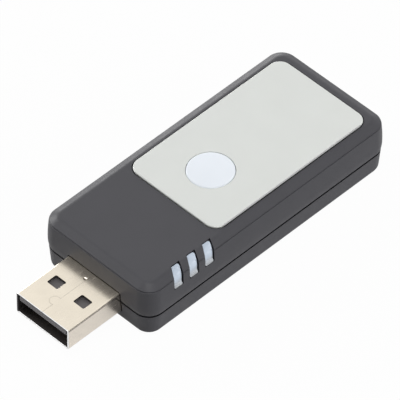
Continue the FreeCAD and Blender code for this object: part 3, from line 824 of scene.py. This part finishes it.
def slot_block(index, low, high, **gaps):
    """One light window as a block that slants along Y as it rises."""
    shape = prism(slot_outline(index, **gaps), "z", low, high)
    for vert in shape.vertices:
        rise = vert.co.z - slot_bottom_z
        vert.co.y += slot_slant * rise / (crease_height - slot_bottom_z)
    return shape


def post(x, y, z0, z1):
    return block(x - post_half, x + post_half, y - post_half, y + post_half, z0, z1)


def saddle(z0, z1):
    """The cross wall behind a cover's front that the plug rests in."""
    return block(-saddle_half, saddle_half, saddle_y, saddle_y + saddle_thickness, z0, z1)


def hook_arm(side, y):
    """One snap hook that hangs from the top cover inside the bottom cover's wall."""
    outer_x = inner_half_width - hook_gap
    arm_x = outer_x - hook_thickness
    root_x = (inner_half_width + half_width) / 2
    root_z = lip_top_z + hook_gap
    top_z = ceiling_z + hook_root
    barb_x = outer_x + hook_barb
    barb_z = hook_foot_z + hook_barb_height
    outline = [
        (arm_x, top_z), (arm_x, hook_foot_z), (outer_x - hook_lead_in, hook_foot_z),
        (barb_x, barb_z - hook_barb_edge), (barb_x, barb_z), (outer_x, barb_z),
        (outer_x, root_z), (root_x, root_z), (root_x, top_z)]
    points = [(side * x, z) for x, z in outline]
    return prism(points, "y", y - hook_width / 2, y + hook_width / 2)


def hook_recess(side, y):
    """The pocket in the bottom cover's wall that a snap hook's barb enters."""
    x0, x1 = sorted((side * (inner_half_width - hook_thickness),
                     side * (inner_half_width + hook_barb)))
    return block(x0, x1, y - hook_width / 2 - hook_gap, y + hook_width / 2 + hook_gap,
                 hook_foot_z - hook_gap, hook_foot_z + hook_barb_height + hook_gap)


hook_places = [(side, y) for y in hook_y for side in (-1, 1)]


def make_bottom_cover():
    cover = casing_sweep(softened([
        (core_inset, floor_wall),
        (side_wall + inner_draft + inside_chamfer, floor_wall),
        (side_wall + inner_draft, floor_wall + inside_chamfer),
        (side_wall, parting_height),
        (side_wall, lip_top_z),
        (lip_outer_inset, lip_top_z, lip_round),
        (lip_outer_inset, parting_height - rim_fall),
        (parting_inset, parting_height, parting_round),
        (foot_inset, 0, foot_round),
        (core_inset, 0),
    ]))
    root_z = floor_wall / 2
    posts = [post(x, y, root_z, board_bottom_z)
             for y in (front_post_y, rear_post_y) for x in (-post_x, post_x)]
    pins = [drum(pin_radius, x, y, root_z, board_top_z + pin_height, steps=pin_steps)
            for x, y in ((-post_x, front_post_y), (post_x, rear_post_y))]
    wall = saddle(root_z, parting_height - seat_gap)
    cover = carved(cover, posts + pins + [wall], "UNION")
    cover = carved(cover, plug_opening() + [hook_recess(*place) for place in hook_places])

    def at_plug(at):
        return (at.y < front_y + plug_hole_depth and abs(at.x) < plug_hole_half
                and at.z < parting_height - touch)

    cover = eased(cover, bottom_edge_round, at_plug)
    return finished("bottom_shell", cover, casing_plastic, CASING,
                    ["bottom_cover"])


def make_top_cover():
    low = parting_height + shadow_gap
    rise = widest_height - low
    lower = [(swell(rise, parting_inset, 1 - n / swell_steps), low + rise * n / swell_steps)
             for n in range(1, swell_steps)]
    crease_foot = crease_height - crease_groove_width
    heights = [widest_height + (crease_foot - widest_height) * n / swell_steps
               for n in range(swell_steps)]
    upper = [(wall_inset(z), z) for z in heights]
    cover = casing_sweep(softened([
        (core_inset, ceiling_z),
        (side_wall + inside_chamfer, ceiling_z),
        (side_wall, ceiling_z - inside_chamfer),
        (side_wall, lip_top_z),
        (rebate_inset, lip_top_z),
        (rebate_inset, low),
        (parting_inset, low, parting_round),
        *lower,
        *upper,
        (wall_inset(crease_foot), crease_foot, crease_foot_round),
        (crease_inset + crease_groove_depth, crease_height - crease_groove_width / 2),
        (crease_inset, crease_height, crease_edge_round),
        (crease_inset + shoulder_run, casing_height, shoulder_round),
        (core_inset, casing_height),
    ]))
    root_z = (ceiling_z + pocket_floor_z) / 2
    posts = [post(x, y, board_top_z, root_z)
             for x, y in ((post_x, front_post_y), (-post_x, rear_post_y))]
    hooks = [hook_arm(*place) for place in hook_places]
    wall = saddle(parting_height + seat_gap, root_z)
    cover = carved(cover, posts + hooks + [wall], "UNION")
    panel_half = panel_width / 2 + panel_gap
    pocket = rounded_block(-panel_half, panel_half, panel_front_y - panel_gap,
                           panel_rear_y + panel_gap, panel_corner + panel_gap, "z",
                           pocket_floor_z, panel_top_z, steps=pocket_steps)
    button_hole = drum(button_hole_radius, 0, button_y, ceiling_z - cut_past, panel_top_z)
    windows = [slot_block(index, slot_bottom_z, panel_top_z) for index in range(slot_count)]
    cover = carved(cover, [pocket, button_hole] + plug_opening() + windows)

    def at_window(at):
        return (at.x > slot_edges_x and slot_edges_y[0] < at.y < slot_edges_y[1]
                and at.z > slot_bottom_z - edge_margin)

    def at_plug(at):
        return (at.y < front_y + plug_hole_depth and abs(at.x) < plug_hole_half
                and at.z < plug_hole_top_z)

    def at_pocket(at):
        return (at.z > casing_height - touch and abs(at.x) < panel_half + edge_margin
                and at.y > panel_front_y - panel_gap - edge_margin)

    cover = eased(cover, top_edge_round, lambda at: at_window(at) or at_plug(at) or at_pocket(at))
    return finished("top_shell", cover, casing_plastic, CASING, ["top_cover"])


# Panel and button

def make_panel():
    profile = softened([
        (panel_rim_width, panel_bottom_z),
        (panel_undercut, panel_bottom_z),
        (panel_undercut, casing_height - panel_undercut_drop),
        (0, casing_height),
        (0, panel_top_z, panel_edge_round),
        (panel_rim_width, panel_top_z),
    ])
    plate = swept(profile, panel_width, panel_rear_y - panel_front_y, panel_corner, corner_steps,
                  (0, (panel_front_y + panel_rear_y) / 2, 0), panel_plastic)
    hole = drum(button_radius + button_gap, 0, button_y, panel_bottom_z - cut_past,
                panel_top_z + cut_past)

    def at_hole(at):
        return (at.z > panel_top_z - touch
                and math.hypot(at.x, at.y - button_y) < button_radius + panel_hole_margin)

    plate = eased(carved(plate, [hole]), panel_hole_round, at_hole)
    return finished("pale_panel", plate, panel_plastic, CASING, ["top_panel"])


def make_button():
    inner = button_radius - button_wall
    roof = panel_top_z - button_wall
    reach = button_radius - button_edge_round
    crown_rise = button_top_z - panel_top_z
    crown = [(reach * n / button_crown_steps,
              button_top_z - swell(reach, crown_rise, n / button_crown_steps))
             for n in range(button_crown_steps)]
    profile = softened([
        (0, button_post_bottom_z),
        (button_post_radius, button_post_bottom_z),
        (button_post_radius, roof),
        (inner, roof),
        (inner, button_flange_bottom_z),
        (button_flange_radius, button_flange_bottom_z),
        (button_flange_radius, button_flange_top_z),
        (button_radius, button_flange_top_z),
        (button_radius, panel_top_z + button_side_rise, button_edge_round),
        *crown[::-1],
    ])
    cap = turned(profile, button_flange_radius, button_steps, button_plastic)
    return finished("round_button", cap, button_plastic, BUTTON, ["button_cap"])


# Light guide

def make_light_guide():
    foot_z = slot_bottom_z + guide_gap
    foot_top = foot_z + guide_foot_height
    recess_z = foot_top + guide_recess
    root_x = slot_inner_x - guide_round
    contour = softened([
        (root_x, foot_z),
        (half_width - wall_inset(foot_z) - guide_foot_recess, foot_z),
        (half_width - wall_inset(foot_top) - guide_foot_recess, foot_top, guide_foot_round),
        (half_width - wall_inset(recess_z) - guide_recess, recess_z, guide_recess_round),
        (crease_x - guide_recess, crease_height - guide_recess / 2, guide_round),
        (crease_x - shoulder_run, casing_height - guide_top_recess, guide_round),
        (root_x, casing_height - guide_top_recess),
    ])
    first = first_slot_y - slot_width / 2
    plan = slot_block(0, foot_z - cut_past, casing_height + cut_past, near_gap=guide_gap,
                      inner_gap=guide_inner_gap, far_gap=guide_far_gap, corner=guide_corner)
    head = prism(contour, "y", first - cut_past, first + slot_width + slot_lean + cut_past)
    head = carved(head, [plan], "INTERSECT")
    notch = prism([(first, foot_z - cut_past),
                   (first + guide_gap + guide_notch_width, foot_z - touch),
                   (first, foot_z + guide_notch_height)],
                  "x", slot_inner_x - cut_past, half_width + cut_past)
    head = eased(carved(head, [notch]), guide_edge_round, lambda at: at.x > slot_inner_x, steps=3)
    bar_x1 = inner_half_width - guide_bar_gap
    bar_x0 = bar_x1 - guide_bar_thickness
    last = first_slot_y + slot_pitch * (slot_count - 1) + slot_width / 2
    bar = block(bar_x0, bar_x1, first - guide_bar_overhang, last + guide_bar_overhang,
                guide_bar_bottom_z, guide_bar_top_z)
    leg = block(bar_x0 - guide_leg_width / 2, bar_x0 + guide_leg_width / 2,
                first_slot_y - guide_leg_length / 2, first_slot_y + guide_leg_length / 2,
                guide_leg_bottom_z, guide_bar_top_z - guide_leg_drop)
    heads, legs = [grown(shape, row, {"Count": slot_count, "Step": (0, slot_pitch, 0),
                                      "Material": light_guide_plastic}) for shape in (head, leg)]
    guide = carved(heads, [bar, legs], "UNION")
    return finished("frosted_windows", guide, light_guide_plastic, CASING,
                    ["light_guide"])


# Plug

def plug_windows(low, high):
    """The two windows in the top of the sleeve and the two below them, as blocks."""
    half = window_width / 2
    return [rounded_block(x - half, x + half, window_y - window_length / 2,
                          window_y + window_length / 2, window_corner, "z", low, high, steps=5)
            for x in (-window_spacing / 2, window_spacing / 2)]


def seam_cuts(low, high):
    """The fine gap where the sleeve's sheet meets: straight, with one round key."""
    half = seam_width / 2
    key_half = math.sqrt(seam_key_radius ** 2 - seam_key_offset ** 2) - seam_width
    key = carved(drum(seam_key_radius, -seam_key_offset, seam_key_y, plug_z, high), [
        drum(seam_key_radius - seam_width, -seam_key_offset, seam_key_y, low, high + cut_past),
        block(-half, seam_key_radius, seam_key_y - seam_key_reach, seam_key_y + seam_key_reach,
              low, high + cut_past)])
    runs = ((tip_y - cut_past, seam_key_y - key_half),
            (seam_key_y + key_half, shell_rear_y + cut_past))
    return [key] + [block(-half, half, y0, y1, plug_z, high) for y0, y1 in runs]


def dimple():
    """The ball that presses the locking dimple into the top of the sleeve."""
    radius = (dimple_radius ** 2 + dimple_depth ** 2) / (2 * dimple_depth)
    ball = bmesh.new()
    bmesh.ops.create_uvsphere(ball, u_segments=48, v_segments=32, radius=radius)
    ball = settled(ball)
    ball.transform(Matrix.Translation((-dimple_radius, dimple_y,
                                       plug_top_z + radius - dimple_depth)))
    return ball


def make_plug():
    length = shell_rear_y - tip_y
    profile = softened([(0, 0, sheet_edge_round), (0, length), (sheet, length),
                        (sheet, 0, sheet_edge_round)], steps=4)
    sleeve = swept(profile, plug_width, plug_height, plug_corner, plug_corner_steps, (0, 0, 0),
                   plug_steel, closed=True)
    sleeve.transform(Matrix.Translation((0, tip_y, plug_z))
                     @ Matrix.Rotation(-math.pi / 2, 4, "X"))
    low = plug_z - plug_height
    high = plug_z + plug_height
    sleeve = carved(sleeve, plug_windows(low, high) + seam_cuts(low, high) + [dimple()])
    sleeve = eased(sleeve, window_edge_round,
                   lambda at: abs(at.y - window_y) < window_length / 2 + window_margin
                   and abs(at.z - plug_z) > plug_height / 2 - touch)
    half = plug_width / 2
    legs = [block(x, x + sheet, shell_rear_y - leg_root, shell_rear_y + leg_length,
                  leg_z - leg_height / 2, leg_z + leg_height / 2) for x in (-half, half - sheet)]
    sleeve = carved(sleeve, legs, "UNION")
    return finished("steel_sleeve", sleeve, plug_steel, CASING, ["plug_shell"])


# Switch dome

def make_switch_dome():
    """The thin snap dome under the switch's stem, drawn in its rest shape, before the button
    presses it flat.
    """
    low = dome_z
    high = dome_z + dome_rise
    profile = softened([
        (0, high),
        (dome_flat_radius, high, dome_flat_bend),
        (dome_foot_radius, low, dome_foot_bend),
        (dome_radius, low),
        (dome_radius, low + dome_sheet),
        (dome_foot_radius, low + dome_sheet, dome_foot_bend),
        (dome_flat_radius, high + dome_sheet, dome_flat_bend),
        (0, high + dome_sheet),
    ])
    dome = turned(profile, dome_radius, dome_steps, switch_metal)
    dome = finished("snap_dome", dome, switch_metal, CASING, ["switch_dome"])
    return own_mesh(dome)


make_bottom_cover()
make_top_cover()
make_panel()
make_button()
make_light_guide()
make_plug()
make_switch_dome()


# Studio, in metres and watts

sky_strength = 0.18
floor_reach = 3.0
floor_to_camera = 0.97
floor_to_mirrors = 0.36
floor_grey = (0.7, 0.7, 0.7, 1)
card_near = (0.9, -0.1)
card_far = (0.4, 0.9)
card_heights = (0.01, 0.5)
cloth_weave = 900.0
lamps = (
    ("top_light", (0.15, -0.15, 1.1), 0.4, 3.4),
    ("front_light", (-0.35, -0.75, 0.6), 0.3, 0.2),
    ("left_light", (-0.9, -0.2, 0.4), 0.6, 6.8),
    ("side_light", (0.9, 0.0, 0.3), 0.6, 2.0),
    ("right_light", (0.8, 0.6, 0.3), 0.6, 6.2),
    ("back_light", (-0.9, 0.65, 0.17), 0.45, 3.5),
)
camera_azimuth = 44.585
camera_elevation = 46.6156
camera_roll = 0.4383
camera_aim = (1.6313, 0.3783, 8.5689)
camera_distance = 0.97353
camera_lens = 535.79


def seen_directly(tree):
    """1 for what the camera, a mirror or clear plastic sees, 0 for light that falls on things."""
    rays = add(tree, "ShaderNodeLightPath").outputs
    mirror = maths(tree, "MAXIMUM", rays["Is Camera Ray"], rays["Is Glossy Ray"])
    return maths(tree, "MAXIMUM", mirror, rays["Is Transmission Ray"])


def mixed_output(tree, share, first, second, output):
    """Brings a blend of two shaders out of a tree."""
    both = add(tree, "ShaderNodeMixShader", {0: share, 1: first.outputs[0], 2: second.outputs[0]})
    end = add(tree, output)
    tree.links.new(both.outputs[0], end.inputs["Surface"])


def stood_sheet(name, corners, material):
    """One flat sheet of the studio."""
    mesh = bpy.data.meshes.new(name)
    mesh.from_pydata(corners, [], [(0, 1, 2, 3)])
    mesh.materials.append(material)
    return linked(name, mesh)


def set_up_sky():
    """Light grey for what it lights, and white for what is seen of it."""
    world = bpy.data.worlds.new("studio")
    bpy.context.scene.world = world
    world.use_nodes = True
    tree = world.node_tree
    tree.nodes.clear()
    soft = add(tree, "ShaderNodeBackground", {"Color": (1, 1, 1, 1), "Strength": sky_strength})
    white = add(tree, "ShaderNodeBackground", {"Color": (1, 1, 1, 1), "Strength": 1.0})
    mixed_output(tree, seen_directly(tree), soft, white, "ShaderNodeOutputWorld")


def set_up_floor():
    """Matt paper that holds a shadow, lit up to nearly white for the camera."""
    paper = bpy.data.materials.new("paper")
    paper.use_nodes = True
    tree = paper.node_tree
    tree.nodes.clear()
    matt = add(tree, "ShaderNodeBsdfDiffuse", {"Color": floor_grey})
    bright = add(tree, "ShaderNodeEmission", {"Color": (1, 1, 1, 1), "Strength": 1.0})
    rays = add(tree, "ShaderNodeLightPath").outputs
    to_camera = maths(tree, "MULTIPLY", rays["Is Camera Ray"], floor_to_camera)
    to_mirrors = maths(tree, "MULTIPLY", rays["Is Glossy Ray"], floor_to_mirrors)
    share = maths(tree, "MAXIMUM", to_camera, to_mirrors)
    mixed_output(tree, share, matt, bright, "ShaderNodeOutputMaterial")
    signs = ((-1, -1), (1, -1), (1, 1), (-1, 1))
    floor = stood_sheet("floor", [(x * floor_reach, y * floor_reach, 0) for x, y in signs], paper)


def set_up_dark_card():
    """Black cloth to the right that only shows in what reflects it."""
    cloth, tree, shader, position = surface("black_cloth")
    weave = add(tree, "ShaderNodeTexNoise", {"Vector": position, "Scale": cloth_weave})
    tone = tinted(tree, weave.outputs[0], (0.01, 0.01, 0.01), (0.03, 0.03, 0.03))
    tree.links.new(tone, shader.inputs["Base Color"])
    shader.inputs["Roughness"].default_value = 1.0
    low, high = card_heights
    card = stood_sheet("dark_card", [(*card_near, low), (*card_far, low), (*card_far, high),
                                     (*card_near, high)], cloth)
    card.visible_camera = False
    card.visible_diffuse = False
    card.visible_shadow = False


def set_up_lamps():
    """Plain white square lamps that face the object."""
    for name, place, size, power in lamps:
        lamp = bpy.data.lights.new(name, "AREA")
        lamp.size = size
        lamp.energy = power
        light = linked(name, lamp)
        light.location = place
        light.rotation_mode = "QUATERNION"
        light.rotation_quaternion = Vector(place).to_track_quat("Z", "Y")


def set_up_camera():
    azimuth, elevation, roll = map(math.radians, (camera_azimuth, camera_elevation, camera_roll))
    aim = Vector(camera_aim) * MM
    back = Vector((math.sin(azimuth) * math.cos(elevation),
                   -math.cos(azimuth) * math.cos(elevation), math.sin(elevation)))
    data = bpy.data.cameras.new("camera")
    data.lens = camera_lens
    data.sensor_width = 36
    data.clip_start = 0.05
    data.clip_end = 20
    camera = linked("camera", data)
    turn = back.to_track_quat("Z", "Y").to_matrix().to_4x4() @ Matrix.Rotation(roll, 4, "Z")
    camera.matrix_world = Matrix.Translation(aim + back * camera_distance) @ turn
    bpy.context.scene.camera = camera


set_up_sky()
set_up_floor()
set_up_dark_card()
set_up_lamps()
set_up_camera()
bpy.context.scene.view_settings.view_transform = "Standard"
